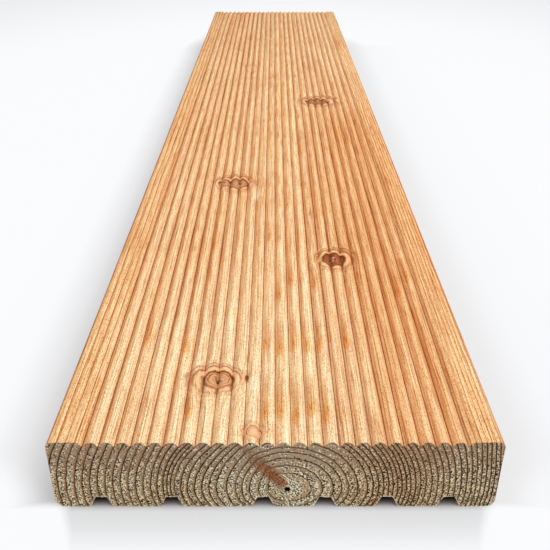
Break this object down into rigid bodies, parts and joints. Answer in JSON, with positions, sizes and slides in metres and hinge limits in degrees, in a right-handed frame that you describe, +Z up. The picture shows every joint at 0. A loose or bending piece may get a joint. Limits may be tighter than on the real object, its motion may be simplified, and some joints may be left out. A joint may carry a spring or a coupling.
{
  "type": "decking board",
  "caption": "Softwood decking board, ridged along its walking face and grooved underneath, with rounded long edges and square sawn ends.",
  "frame": {"origin": "middle of the underside", "axes": "+Z up through the walking face, +Y along the grain away from the end that the picture shows, +X across the board"},
  "size_m": [0.145, 0.765, 0.028],
  "materials": {
    "wood": "planed bare softwood, matt, with knots and open end grain"
  },
  "bodies": {
    "root": {"decking_board": "wood"}
  },
  "joints": []
}
